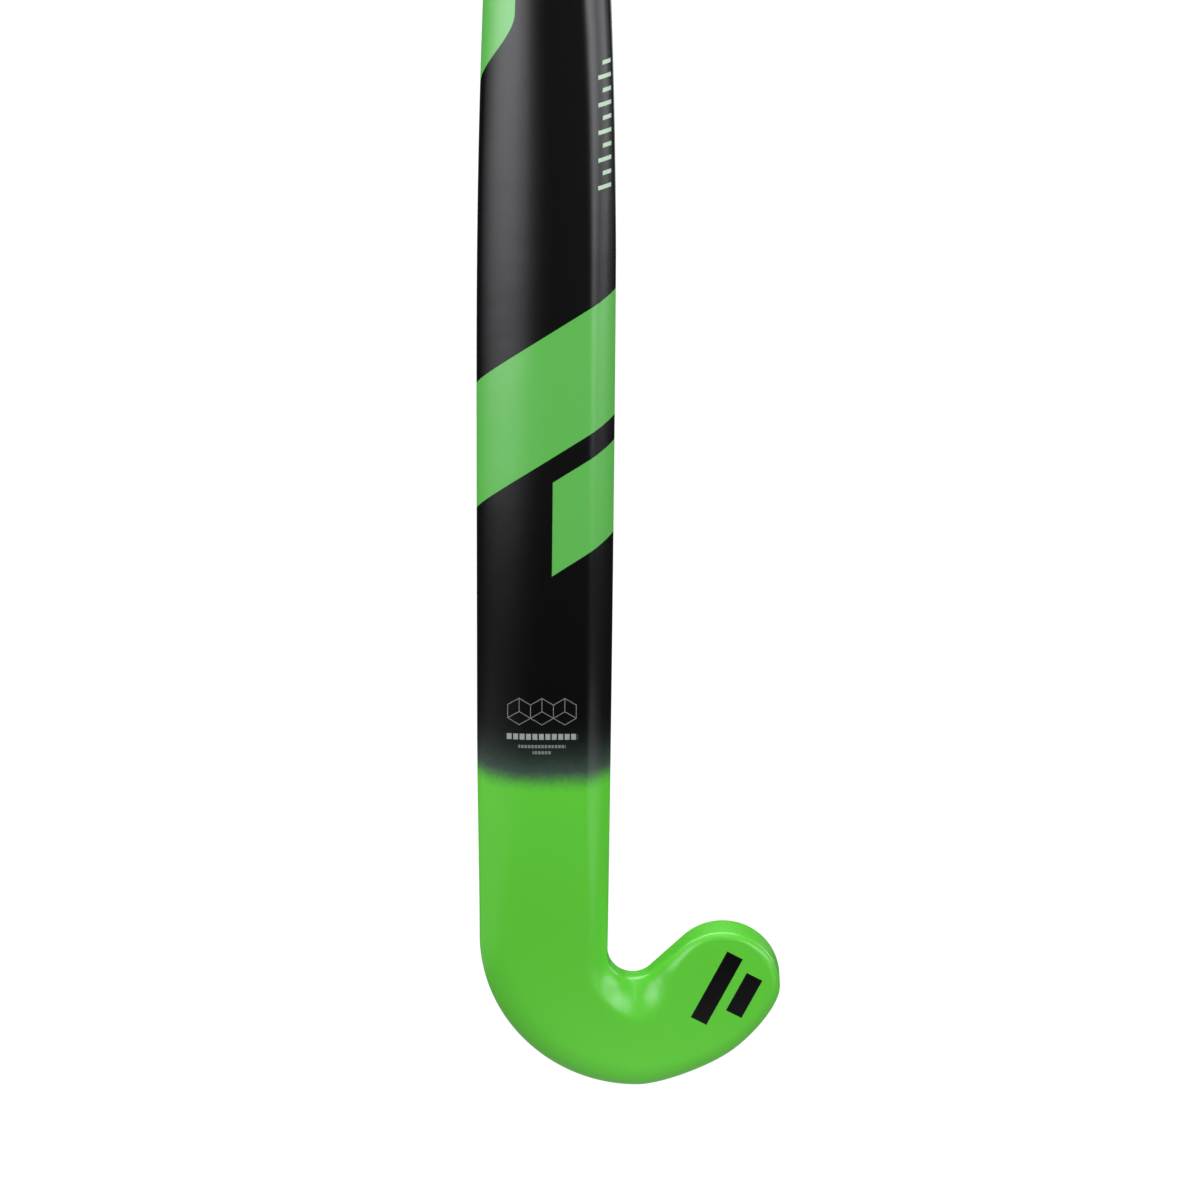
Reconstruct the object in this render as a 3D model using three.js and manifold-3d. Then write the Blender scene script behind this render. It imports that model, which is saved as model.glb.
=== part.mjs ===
// A composite field hockey stick, standing on its head with the handle up.
//
// The stick is drawn flat first: x across it (toe side positive), s along it from the base
// up, h into it from the flat playing face to the rounded back. The bow then bends that
// drawing, so that the head leans and the shaft curves while the head's face stays a plane.
// Millimetres, +Z up the stick, +X to the toe, +Y out of the playing face. The origin is
// the middle of the bottom of the bounding box.

import * as THREE from 'three';
import { mergeVertices } from 'three/addons/utils/BufferGeometryUtils.js';
import Module from 'manifold-3d';

const wasm = await Module();
wasm.setup();

// ---- driving dimensions -------------------------------------------------------------------

const LENGTH = 927; // base to butt, along the playing face
const SHELL_TOP = 921; // the laminate ends here and the cap begins
const BLADE_HALF_WIDTH = 25; // widest part of the shaft
const HANDLE_HALF_WIDTH = 14.7;
const HANDLE_START = 600; // the section is constant above this
const SWELL_END = { heel: 135, toe: 305 }; // the shaft widens from the head up to here
const TAPER_START = { heel: 248, toe: 278 }; // and narrows from here to the handle
const TAPER_EASE = 1.3;

const HEEL = { x: 32.4, radius: 56.7 }; // outside of the hook's bend
const CROOK = { x: 31.1, s: 48.9, radius: 9.2 }; // inside of the hook's bend
const TOE = { x: 63.5, s: 37.9, radius: 20.8 }; // round end of the hook
const BASE_JOINT = { x: 66.2, s: 12.6, angle: 35.5 }; // where the base's two curves meet
const BASE_PULLS = [8.5, 10.5, 9.5, 7.5]; // how far their handles reach, from the heel to the toe

// The playing face from the base up: the head is flat and leans back, the shaft bows, and
// the handle comes back in line with the head. Leans are in degrees.
const FACE_PATH = [
  { length: 64, lean: 10, endLean: 10 },
  { length: 151, lean: 10, endLean: 0 },
  { length: 235, lean: 0, endLean: -2.25 },
  { length: 477, lean: -2.25, endLean: -2.25 },
];

// Distances along the stick's middle line, which passes round the hook
const HEEL_TOP = HEEL.radius;
const BEND_END = 7;
const NECK_START = -15;
const NECK_END = -30;
const TIP = -52;

// The depth from face to back, and the laminate's thickness, at places along the middle line
const DEPTH = [
  [TIP, 18.5], [NECK_END, 18.6], [BEND_END, 20], [58, 20.5],
  [110, 22], [300, 24], [450, 26], [600, 27.6],
];
const WALL = [[TIP, 4], [60, 4], [140, 3], [300, 2.6]];

// The section's corners at places along the middle line: how far a corner reaches in along
// the flat, how far it falls down the side, and how full its curve is at its flat end and
// at its side end. The toe side's back corner is a bevel along the shaft.
const FACE_CORNER = [
  [TIP, 2.5, 2.5, 0.55, 0.55],
  [NECK_END, 3, 3, 0.55, 0.55],
  [BEND_END, 4, 4, 0.55, 0.55],
  [58, 4, 4, 0.55, 0.55],
  [300, 6, 5.5, 0.55, 0.55],
  [600, 13, 12, 0.55, 0.55],
];
const HEEL_BACK_CORNER = [
  [TIP, 2.5, 2.5, 0.55, 0.55],
  [-42, 2.6, 2.6, 0.55, 0.55],
  [NECK_END, 3.6, 3.4, 0.55, 0.55],
  [NECK_START, 6, 5, 0.55, 0.55],
  [BEND_END, 9, 6.5, 0.55, 0.55],
  [58, 12, 7.5, 0.55, 0.55],
  [110, 20, 9, 0.58, 0.5],
  [300, 27.5, 10.9, 0.6, 0.44],
  [450, 20, 11.3, 0.58, 0.5],
  [600, 13, 12, 0.55, 0.55],
];
const TOE_BACK_CORNER = [
  [TIP, 2.5, 2.5, 0.55, 0.55],
  [-38, 2.6, 2.6, 0.5, 0.55],
  [NECK_END, 3.2, 3.2, 0.4, 0.55],
  [-22.5, 5.5, 5, 0.35, 0.54],
  [NECK_START, 10.5, 8, 0.3, 0.53],
  [4, 14.3, 9.5, 0.2, 0.5],
  [14, 12.3, 8.8, 0.2, 0.45],
  [32, 9.2, 7.5, 0.25, 0.35],
  [58, 8, 7, 0.4, 0.25],
  [110, 9, 7, 0.4, 0.2],
  [300, 9.4, 6.5, 0.42, 0.2],
  [350, 9.8, 6, 0.44, 0.33],
  [450, 11.5, 9, 0.35, 0.5],
  [600, 13, 12, 0.55, 0.55],
];
const CROWN = 0.00125; // the back's doming, per mm, times the square of the half width
const SMALLEST_CORNER = 0.6; // what an inner skin keeps of a corner

const GAP = 0.3; // between neighbouring pieces
const FOAM_TOP = 870;
const FOAM_BOTTOM = 90;
const RIB_THICKNESS = 2;
const PLUG_BOTTOM = 875;
const PLUG_TOP = 917;
const WEIGHT = { radius: 6, bottom: 880, length: 25 };
const GRIP_BOTTOM = 608;
const UNDERLAY_THICKNESS = 0.3;
const GRIP_THICKNESS = 1.7;
const TAPE = { bottom: 592, top: 616, thickness: 0.5 };
const CAP_RIM = 1.4; // how far the cap's edge is rounded

const CORNER_STEPS = 4;
const INNER_CORNER_STEPS = 3;
const SPIGOT_CLEARANCE = 0.6; // the spigot's finer corners clear the laminate's coarser ones

// ---- small helpers ------------------------------------------------------------------------

const radians = THREE.MathUtils.degToRad;

const smooth = (t) => t * t * (3 - 2 * t);

const clamp01 = (t) => Math.min(1, Math.max(0, t));

// A smooth curve through the keys that never overshoots them.
function keyed(keys) {
  const chord = keys.slice(1).map(([c, v], i) => (v - keys[i][1]) / (c - keys[i][0]));
  const slope = keys.map((key, i) => {
    if (i === 0 || i === keys.length - 1) return 0;
    const before = chord[i - 1];
    const after = chord[i];
    return before * after > 0 ? (2 * before * after) / (before + after) : 0;
  });
  return (c) => {
    if (c <= keys[0][0]) return keys[0][1];
    for (let i = 1; i < keys.length; i++) {
      if (c > keys[i][0]) continue;
      const span = keys[i][0] - keys[i - 1][0];
      const t = (c - keys[i - 1][0]) / span;
      const start = keys[i - 1][1] + t * t * (3 - 2 * t) * (keys[i][1] - keys[i - 1][1]);
      const lift = t * (1 - t) * ((1 - t) * slope[i - 1] - t * slope[i]);
      return start + span * lift;
    }
    return keys[keys.length - 1][1];
  };
}

function steps(from, to, count) {
  return Array.from({ length: count }, (_, i) => from + ((to - from) * (i + 1)) / count);
}

// ---- the flat drawing: outline and section ------------------------------------------------

const depthAt = keyed(DEPTH);
const wallAt = keyed(WALL);

function cornerKeys(rows) {
  const column = (i) => keyed(rows.map((row) => [row[0], row[i]]));
  return { reach: column(1), fall: column(2), flatFull: column(3), sideFull: column(4) };
}

const faceCorner = cornerKeys(FACE_CORNER);
const heelBackCorner = cornerKeys(HEEL_BACK_CORNER);
const toeBackCorner = cornerKeys(TOE_BACK_CORNER);

function taper(s, start) {
  const t = clamp01((s - start) / (HANDLE_START - start)) ** TAPER_EASE;
  return BLADE_HALF_WIDTH - (BLADE_HALF_WIDTH - HANDLE_HALF_WIDTH) * smooth(t);
}

function heelEdge(s) {
  const headEdge = HEEL.radius - HEEL.x;
  const swell = smooth(clamp01((s - HEEL_TOP) / (SWELL_END.heel - HEEL_TOP)));
  return taper(s, TAPER_START.heel) - (BLADE_HALF_WIDTH - headEdge) * (1 - swell);
}

function toeEdge(s) {
  const headEdge = CROOK.x - CROOK.radius;
  const p = clamp01((s - CROOK.s) / (SWELL_END.toe - CROOK.s));
  const swell = p * (1.35 - 0.35 * p);
  return taper(s, TAPER_START.toe) - (BLADE_HALF_WIDTH - headEdge) * (1 - swell);
}

function towards(angle, distance = 1) {
  return new THREE.Vector2(Math.cos(radians(angle)), Math.sin(radians(angle))).multiplyScalar(distance);
}

// The slope of the straight line that touches the crook's arc and the toe's arc.
function findNeckAngle() {
  const dx = TOE.x - CROOK.x;
  const ds = TOE.s - CROOK.s;
  const lean = Math.asin((TOE.radius + CROOK.radius) / Math.hypot(dx, ds));
  return THREE.MathUtils.radToDeg(Math.atan2(ds, dx) + lean);
}

// The base's two curves, from the heel's lowest point to the toe's outermost point.
function findBaseCurves() {
  const heel = new THREE.Vector2(HEEL.x, 0);
  const joint = new THREE.Vector2(BASE_JOINT.x, BASE_JOINT.s);
  const toe = new THREE.Vector2(TOE.x + TOE.radius, TOE.s);
  const curve = (start, startAngle, startPull, end, endAngle, endPull) => new THREE.CubicBezierCurve(
    start,
    start.clone().add(towards(startAngle, startPull)),
    end.clone().sub(towards(endAngle, endPull)),
    end,
  );
  return [
    curve(heel, 0, BASE_PULLS[0], joint, BASE_JOINT.angle, BASE_PULLS[1]),
    curve(joint, BASE_JOINT.angle, BASE_PULLS[2], toe, 90, BASE_PULLS[3]),
  ];
}

const NECK_ANGLE = findNeckAngle();
const BASE_CURVES = findBaseCurves();
const TIP_ANGLE = (90 + NECK_ANGLE) / 2;

// A point of the hook's outline with the direction into the stick. `side` is 1 where that
// direction is towards the arc's centre and -1 where it is away from it.
function onArc(x, s, radius, angle, side) {
  const out = towards(angle);
  return { x: x + radius * out.x, s: s + radius * out.y, inX: -side * out.x, inS: -side * out.y };
}

function onHeel(angle) {
  return onArc(HEEL.x, HEEL.radius, HEEL.radius, angle, 1);
}

function onCrook(angle) {
  return onArc(CROOK.x, CROOK.s, CROOK.radius, angle, -1);
}

function onToe(angle) {
  return onArc(TOE.x, TOE.s, TOE.radius, angle, 1);
}

function onBase(curve, t) {
  const at = curve.getPoint(t);
  const along = curve.getTangent(t);
  return { x: at.x, s: at.y, inX: -along.y, inS: along.x };
}

function onNeck(t) {
  const start = onCrook(270 + NECK_ANGLE);
  const end = onToe(90 + NECK_ANGLE);
  const at = { ...start };
  for (const key of Object.keys(at)) at[key] = THREE.MathUtils.lerp(start[key], end[key], t);
  return at;
}

// The two outline points that a section joins, on the heel side and the toe side.
function outline(c) {
  if (c >= HEEL_TOP) {
    const slip = (HEEL_TOP - CROOK.s) * (1 - smooth(clamp01((c - HEEL_TOP) / 60)));
    return {
      heel: { x: -heelEdge(c), s: c, inX: 1, inS: 0 },
      toe: { x: toeEdge(c - slip), s: c - slip, inX: -1, inS: 0 },
    };
  }
  if (c >= BEND_END) {
    const t = (HEEL_TOP - c) / (HEEL_TOP - BEND_END);
    return { heel: onHeel(180 + 90 * t), toe: onCrook(180 + 90 * t) };
  }
  if (c >= NECK_START) {
    const t = (BEND_END - c) / (BEND_END - NECK_START);
    return { heel: onBase(BASE_CURVES[0], t), toe: onCrook(270 + NECK_ANGLE * t) };
  }
  if (c >= NECK_END) {
    const t = (NECK_START - c) / (NECK_START - NECK_END);
    return { heel: onBase(BASE_CURVES[1], t), toe: onNeck(t) };
  }
  const t = (NECK_END - c) / (NECK_END - TIP);
  return {
    heel: onToe(TIP_ANGLE * t),
    toe: onToe(THREE.MathUtils.lerp(90 + NECK_ANGLE, TIP_ANGLE, t)),
  };
}

// ---- the bow ------------------------------------------------------------------------------

function onFace(s) {
  let y = 0;
  let z = 0;
  let left = s;
  for (const [i, stretch] of FACE_PATH.entries()) {
    const last = i === FACE_PATH.length - 1;
    const run = last ? left : Math.min(left, stretch.length);
    const lean = radians(stretch.lean);
    const turn = radians(stretch.endLean - stretch.lean) / stretch.length;
    if (turn === 0) {
      y -= Math.sin(lean) * run;
      z += Math.cos(lean) * run;
    } else {
      y += (Math.cos(lean + turn * run) - Math.cos(lean)) / turn;
      z += (Math.sin(lean + turn * run) - Math.sin(lean)) / turn;
    }
    left -= run;
    if (left <= 0) return { y, z, lean: lean + turn * run };
  }
  return { y, z, lean: radians(FACE_PATH.at(-1).endLean) };
}

function bend(x, s, h) {
  const face = onFace(s);
  return new THREE.Vector3(x, face.y - h * Math.cos(face.lean), face.z - h * Math.sin(face.lean));
}

// ---- rings and lofts ----------------------------------------------------------------------

// One corner of the section, from the flat round to the side, as (reach, fall) pairs.
function corner(keys, c, inset, count) {
  const reach = Math.max(keys.reach(c) - inset, SMALLEST_CORNER);
  const fall = Math.max(keys.fall(c) - inset, SMALLEST_CORNER);
  const curve = new THREE.CubicBezierCurve(
    new THREE.Vector2(reach, 0),
    new THREE.Vector2(reach * (1 - keys.flatFull(c)), 0),
    new THREE.Vector2(0, fall * (1 - keys.sideFull(c))),
    new THREE.Vector2(0, fall),
  );
  return Array.from({ length: count + 1 }, (_, i) => curve.getPoint(i / count));
}

// The section at c, drawn `inset` inside the outer surface, as a closed ring of points.
function ring(c, inset, count) {
  const { heel, toe } = outline(c);
  const depth = depthAt(c) - inset;
  const halfWidth = Math.hypot(toe.x - heel.x, toe.s - heel.s) / 2;
  const point = (edge, reach, h) => {
    const into = reach + inset;
    const away = into < halfWidth ? 1 - into / halfWidth : 0;
    const crown = CROWN * halfWidth * halfWidth * (1 - away * away);
    return {
      x: edge.x + edge.inX * into,
      s: edge.s + edge.inS * into,
      h: h * (1 + crown / depthAt(c)),
    };
  };
  const heelSide = [
    ...corner(faceCorner, c, inset, count).map((p) => point(heel, p.x, inset + p.y)),
    ...corner(heelBackCorner, c, inset, count).reverse().map((p) => point(heel, p.x, depth - p.y)),
  ];
  const toeSide = [
    ...corner(toeBackCorner, c, inset, count).map((p) => point(toe, p.x, depth - p.y)),
    ...corner(faceCorner, c, inset, count).reverse().map((p) => point(toe, p.x, inset + p.y)),
  ];
  return [...heelSide, ...toeSide].map(({ x, s, h }) => bend(x, s, h));
}

// A closed mesh through rings that all have the same number of points. A ring that has
// folded flat closes itself, so only `caps` of the ends get a fan.
function loftGeometry(rings, caps) {
  const size = rings[0].length;
  const positions = rings.flat();
  const triangles = [];
  for (let r = 0; r + 1 < rings.length; r++) {
    for (let i = 0; i < size; i++) {
      const a = r * size + i;
      const b = r * size + ((i + 1) % size);
      triangles.push([a, b + size, b], [a, a + size, b + size]);
    }
  }
  const fan = (first, flip) => {
    const centre = new THREE.Vector3();
    for (let i = 0; i < size; i++) centre.addScaledVector(positions[first + i], 1 / size);
    const hub = positions.push(centre) - 1;
    for (let i = 0; i < size; i++) {
      const a = first + i;
      const b = first + ((i + 1) % size);
      triangles.push(flip ? [hub, b, a] : [hub, a, b]);
    }
  };
  if (caps.start) fan(0, false);
  if (caps.end) fan((rings.length - 1) * size, true);
  return closedGeometry(positions, triangles);
}

// Joins the points that coincide and leaves out the triangles that this empties.
function closedGeometry(positions, triangles) {
  const loose = new THREE.BufferGeometry().setFromPoints(positions);
  loose.setIndex(triangles.flat());
  const merged = mergeVertices(loose, 1e-3);
  const index = merged.index.array;
  const kept = [];
  for (let i = 0; i < index.length; i += 3) {
    const [a, b, c] = [index[i], index[i + 1], index[i + 2]];
    if (a !== b && b !== c && c !== a) kept.push(a, b, c);
  }
  merged.setIndex(kept);
  return merged;
}

function toSolid(geometry) {
  return new wasm.Manifold(new wasm.Mesh({
    numProp: 3,
    vertProperties: new Float32Array(geometry.attributes.position.array),
    triVerts: new Uint32Array(geometry.index.array),
  }));
}

function toGeometry(solid) {
  const mesh = solid.getMesh();
  const geometry = new THREE.BufferGeometry();
  geometry.setAttribute('position', new THREE.BufferAttribute(mesh.vertProperties, 3));
  geometry.setIndex(new THREE.BufferAttribute(mesh.triVerts, 1));
  return geometry;
}

const BOTH_ENDS = { start: true, end: true };

// A solid between two places along the stick. `places` run down the stick.
function stretch(places, inset, count) {
  const caps = { start: true, end: places.at(-1) > TIP };
  return loftGeometry(places.map((c) => ring(c, inset(c), count)), caps);
}

// A sleeve or plug on the handle, from (place, inset) pairs that run round its profile.
function handleProfile(pairs, caps, count = CORNER_STEPS) {
  return loftGeometry(pairs.map(([c, inset]) => ring(c, inset, count)), caps);
}

// A closed sleeve: its profile runs down the outside and back up the inside.
function sleeve(outer, inner) {
  const profile = [...outer, ...inner];
  return handleProfile([...profile, profile[0]], { start: false, end: false });
}

// ---- places along the stick ---------------------------------------------------------------

const HEAD_TOP = FACE_PATH[0].length;
const shaftPlaces = [
  SHELL_TOP,
  HANDLE_START,
  ...steps(HANDLE_START, 300, 10),
  ...steps(300, HEAD_TOP, 16),
  HEEL_TOP,
];
const hookPlaces = [
  ...steps(HEEL_TOP, BEND_END, 10),
  ...steps(BEND_END, NECK_START, 5),
  ...steps(NECK_START, NECK_END, 3),
  ...steps(NECK_END, TIP, 9),
];
const innerShaftPlaces = [HANDLE_START, ...steps(HANDLE_START, 300, 5), ...steps(300, FOAM_BOTTOM, 8)];
const innerHookPlaces = [
  ...steps(HEEL_TOP, BEND_END, 6),
  ...steps(BEND_END, NECK_START, 3),
  ...steps(NECK_START, NECK_END, 1),
  ...steps(NECK_END, TIP, 5),
];
const insideShell = (c) => wallAt(c) + GAP;

// ---- the pieces ---------------------------------------------------------------------------

function compositeShell() {
  const outside = toSolid(stretch([...shaftPlaces, ...hookPlaces], () => 0, CORNER_STEPS));
  const inside = stretch(
    [SHELL_TOP + 1, ...innerShaftPlaces, HEAD_TOP, HEEL_TOP, ...innerHookPlaces],
    wallAt,
    INNER_CORNER_STEPS,
  );
  return toGeometry(outside.subtract(toSolid(inside)));
}

// The part of the foam space that lies between two values of x.
function foamSlice(from, to) {
  const space = toSolid(stretch([FOAM_TOP, ...innerShaftPlaces], insideShell, INNER_CORNER_STEPS));
  const box = new THREE.BoxGeometry(to - from, 400, 2 * LENGTH);
  box.deleteAttribute('normal');
  box.deleteAttribute('uv');
  box.translate((from + to) / 2, 0, LENGTH / 2);
  return toGeometry(space.intersect(toSolid(mergeVertices(box))));
}

function centreRib() {
  return foamSlice(-RIB_THICKNESS / 2, RIB_THICKNESS / 2);
}

function heelSideFoam() {
  return foamSlice(-2 * BLADE_HALF_WIDTH, -RIB_THICKNESS / 2 - GAP);
}

function toeSideFoam() {
  return foamSlice(RIB_THICKNESS / 2 + GAP, 2 * BLADE_HALF_WIDTH);
}

function headCore() {
  const places = [FOAM_BOTTOM - 2 * GAP, HEAD_TOP, HEEL_TOP, ...innerHookPlaces];
  return stretch(places, insideShell, INNER_CORNER_STEPS);
}

// A cylinder on the handle's middle line.
function handleCylinder(radius, bottom, top) {
  const middle = depthAt(HANDLE_START) / 2;
  const start = bend(0, bottom, middle);
  const end = bend(0, top, middle);
  const cylinder = new THREE.CylinderGeometry(radius, radius, start.distanceTo(end), 24);
  cylinder.deleteAttribute('normal');
  cylinder.deleteAttribute('uv');
  const up = new THREE.Vector3(0, 1, 0);
  const along = end.clone().sub(start).normalize();
  cylinder.applyQuaternion(new THREE.Quaternion().setFromUnitVectors(up, along));
  const centre = start.add(end).multiplyScalar(0.5);
  cylinder.translate(centre.x, centre.y, centre.z);
  return mergeVertices(cylinder, 1e-3);
}

function buttPlug() {
  const inset = insideShell(PLUG_TOP);
  const ends = [[PLUG_TOP, inset], [PLUG_BOTTOM, inset]];
  const body = toSolid(handleProfile(ends, BOTH_ENDS, INNER_CORNER_STEPS));
  const pocketTop = WEIGHT.bottom + WEIGHT.length + GAP;
  const pocket = toSolid(handleCylinder(WEIGHT.radius + GAP, PLUG_BOTTOM - 1, pocketTop));
  return toGeometry(body.subtract(pocket));
}

function balanceWeight() {
  return handleCylinder(WEIGHT.radius, WEIGHT.bottom, WEIGHT.bottom + WEIGHT.length);
}

const underlayInside = -GAP;
const underlayOutside = underlayInside - UNDERLAY_THICKNESS;
const gripInside = underlayOutside - GAP;
const gripOutside = gripInside - GRIP_THICKNESS;

function gripUnderlay() {
  return sleeve(
    [[SHELL_TOP, underlayOutside], [GRIP_BOTTOM, underlayOutside]],
    [[GRIP_BOTTOM, underlayInside], [SHELL_TOP, underlayInside]],
  );
}

function cushionGrip() {
  return sleeve(
    [[SHELL_TOP, gripOutside], [GRIP_BOTTOM, gripOutside]],
    [[GRIP_BOTTOM, gripInside], [SHELL_TOP, gripInside]],
  );
}

// The tape that binds the grip's lower end: it climbs from the shaft over the grip's edge.
function finishingTape() {
  const overGrip = gripOutside - GAP;
  const onShaft = -GAP;
  const step = GRIP_BOTTOM - GAP;
  return sleeve(
    [
      [TAPE.top, overGrip - TAPE.thickness],
      [GRIP_BOTTOM - 2, overGrip - TAPE.thickness],
      [HANDLE_START, onShaft - 1.6 * TAPE.thickness],
      [TAPE.bottom, onShaft - TAPE.thickness],
    ],
    [
      [TAPE.bottom, onShaft],
      [HANDLE_START, onShaft],
      [step, onShaft],
      [step, overGrip],
      [TAPE.top, overGrip],
    ],
  );
}

// The cap's flange covers the laminate and the grip, and its spigot plugs the open end.
function endCap() {
  const flangeBottom = SHELL_TOP + GAP;
  const spigot = insideShell(SHELL_TOP) + SPIGOT_CLEARANCE;
  return handleProfile(
    [
      [LENGTH, gripOutside + 2.4 * CAP_RIM],
      [LENGTH - 0.3 * CAP_RIM, gripOutside + CAP_RIM],
      [LENGTH - CAP_RIM, gripOutside + 0.3 * CAP_RIM],
      [LENGTH - 2.4 * CAP_RIM, gripOutside],
      [flangeBottom, gripOutside],
      [flangeBottom, spigot],
      [PLUG_TOP + GAP, spigot],
    ],
    BOTH_ENDS,
  );
}

// ---- the assembly -------------------------------------------------------------------------

const finishes = {
  lacquer: { color: 0x131216, roughness: 0.35, metalness: 0 },
  laminate: { color: 0x1b1b1d, roughness: 0.5, metalness: 0 },
  foam: { color: 0xd9cfae, roughness: 0.95, metalness: 0 },
  filler: { color: 0x8c8474, roughness: 0.85, metalness: 0 },
  plug: { color: 0x2e2f33, roughness: 0.7, metalness: 0 },
  steel: { color: 0x8e9196, roughness: 0.4, metalness: 1 },
  underlay: { color: 0xe6e3da, roughness: 0.9, metalness: 0 },
  grip: { color: 0x1a1a1c, roughness: 0.85, metalness: 0 },
  tape: { color: 0x4fae3c, roughness: 0.4, metalness: 0 },
  cap: { color: 0x17181a, roughness: 0.7, metalness: 0 },
};

const pieces = [
  ['composite_shell', compositeShell, finishes.lacquer],
  ['centre_rib', centreRib, finishes.laminate],
  ['heel_side_foam', heelSideFoam, finishes.foam],
  ['toe_side_foam', toeSideFoam, finishes.foam],
  ['head_core', headCore, finishes.filler],
  ['butt_plug', buttPlug, finishes.plug],
  ['balance_weight', balanceWeight, finishes.steel],
  ['grip_underlay', gripUnderlay, finishes.underlay],
  ['cushion_grip', cushionGrip, finishes.grip],
  ['finishing_tape', finishingTape, finishes.tape],
  ['end_cap', endCap, finishes.cap],
];

const stick = new THREE.Group();
for (const [name, build, finish] of pieces) {
  const mesh = new THREE.Mesh(build(), new THREE.MeshStandardMaterial(finish));
  mesh.name = name;
  stick.add(mesh);
}

// The origin goes to the middle of the bottom of the bounding box.
const bounds = new THREE.Box3().setFromObject(stick);
const middle = bounds.getCenter(new THREE.Vector3());
stick.position.set(-middle.x, -middle.y, -bounds.min.z);

export default stick;
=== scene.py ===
"""A composite field hockey stick: the fine surfaces, finishes, lights and camera.

The stick is drawn flat first, in millimetres: x across it (toe side positive), s along it from
the base up, h into it from the flat playing face to the rounded back. bend() then leans and
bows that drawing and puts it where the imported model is. Blender's units are metres.
"""

import math

import bmesh
import bpy
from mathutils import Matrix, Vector


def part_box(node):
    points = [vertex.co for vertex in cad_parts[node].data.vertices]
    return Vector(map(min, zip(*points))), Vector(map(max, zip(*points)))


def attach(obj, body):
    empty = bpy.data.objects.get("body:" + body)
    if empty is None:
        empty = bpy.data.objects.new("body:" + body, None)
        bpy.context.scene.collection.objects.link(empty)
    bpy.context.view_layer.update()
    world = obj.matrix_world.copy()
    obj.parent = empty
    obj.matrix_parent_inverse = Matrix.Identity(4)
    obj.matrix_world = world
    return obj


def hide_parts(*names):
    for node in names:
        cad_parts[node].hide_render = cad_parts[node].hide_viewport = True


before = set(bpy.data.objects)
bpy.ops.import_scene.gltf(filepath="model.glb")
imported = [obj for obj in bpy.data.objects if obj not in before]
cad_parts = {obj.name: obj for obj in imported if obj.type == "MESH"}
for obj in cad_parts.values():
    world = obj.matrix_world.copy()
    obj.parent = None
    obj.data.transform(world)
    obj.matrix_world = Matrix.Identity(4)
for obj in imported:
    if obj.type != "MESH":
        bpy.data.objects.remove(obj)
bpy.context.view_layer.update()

MM = 0.001

# ---- driving dimensions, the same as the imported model's, in millimetres --------------------

LENGTH = 927
SHELL_TOP = 921
BLADE_HALF_WIDTH = 25
HANDLE_HALF_WIDTH = 14.7
HANDLE_START = 600
SWELL_END = {"heel": 135, "toe": 305}
TAPER_START = {"heel": 248, "toe": 278}
TAPER_EASE = 1.3
TOE_SWELL = 1.35  # how steeply the toe side widens at first
SQUARE_BY = 60  # sections are square to the stick from this far above the heel's bend

HEEL = {"x": 32.4, "radius": 56.7}
CROOK = {"x": 31.1, "s": 48.9, "radius": 9.2}
TOE = {"x": 63.5, "s": 37.9, "radius": 20.8}
BASE_JOINT = {"x": 66.2, "s": 12.6, "angle": 35.5}  # where the base's two curves meet
BASE_PULLS = [8.5, 10.5, 9.5, 7.5]  # how far their handles reach, from the heel to the toe

FACE_PATH = [
    {"length": 64, "lean": 10, "end_lean": 10},
    {"length": 151, "lean": 10, "end_lean": 0},
    {"length": 235, "lean": 0, "end_lean": -2.25},
    {"length": 477, "lean": -2.25, "end_lean": -2.25},
]

# Places along the middle line, which passes round the hook
HEEL_TOP = HEEL["radius"]
BEND_END = 7
NECK_START = -15
NECK_END = -30
TIP = -52

# The depth from face to back, and the laminate's thickness, at places along the middle line
DEPTH = [
    (TIP, 18.5), (NECK_END, 18.6), (BEND_END, 20), (58, 20.5),
    (110, 22), (300, 24), (450, 26), (600, 27.6),
]
WALL = [(TIP, 4), (60, 4), (140, 3), (300, 2.6)]

# The section's corners: the place, how far the corner reaches in along the flat, how far it
# falls down the side, and how full its curve is at its flat end and at its side end.
FACE_CORNER = [
    (TIP, 2.5, 2.5, 0.55, 0.55),
    (NECK_END, 3, 3, 0.55, 0.55),
    (BEND_END, 4, 4, 0.55, 0.55),
    (58, 4, 4, 0.55, 0.55),
    (300, 6, 5.5, 0.55, 0.55),
    (600, 13, 12, 0.55, 0.55),
]
HEEL_BACK_CORNER = [
    (TIP, 2.5, 2.5, 0.55, 0.55),
    (-42, 2.6, 2.6, 0.55, 0.55),
    (NECK_END, 3.6, 3.4, 0.55, 0.55),
    (NECK_START, 6, 5, 0.55, 0.55),
    (BEND_END, 9, 6.5, 0.55, 0.55),
    (58, 12, 7.5, 0.55, 0.55),
    (110, 20, 9, 0.58, 0.5),
    (300, 27.5, 10.9, 0.6, 0.44),
    (450, 20, 11.3, 0.58, 0.5),
    (600, 13, 12, 0.55, 0.55),
]
TOE_BACK_CORNER = [
    (TIP, 2.5, 2.5, 0.55, 0.55),
    (-38, 2.6, 2.6, 0.5, 0.55),
    (NECK_END, 3.2, 3.2, 0.4, 0.55),
    (-22.5, 5.5, 5, 0.35, 0.54),
    (NECK_START, 10.5, 8, 0.3, 0.53),
    (4, 14.3, 9.5, 0.2, 0.5),
    (14, 12.3, 8.8, 0.2, 0.45),
    (32, 9.2, 7.5, 0.25, 0.35),
    (58, 8, 7, 0.4, 0.25),
    (110, 9, 7, 0.4, 0.2),
    (300, 9.4, 6.5, 0.42, 0.2),
    (350, 9.8, 6, 0.44, 0.33),
    (450, 11.5, 9, 0.35, 0.5),
    (600, 13, 12, 0.55, 0.55),
]
CROWN = 0.00125  # the back's rise at its middle is this times its half width squared
SMALLEST_CORNER = 0.6

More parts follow.
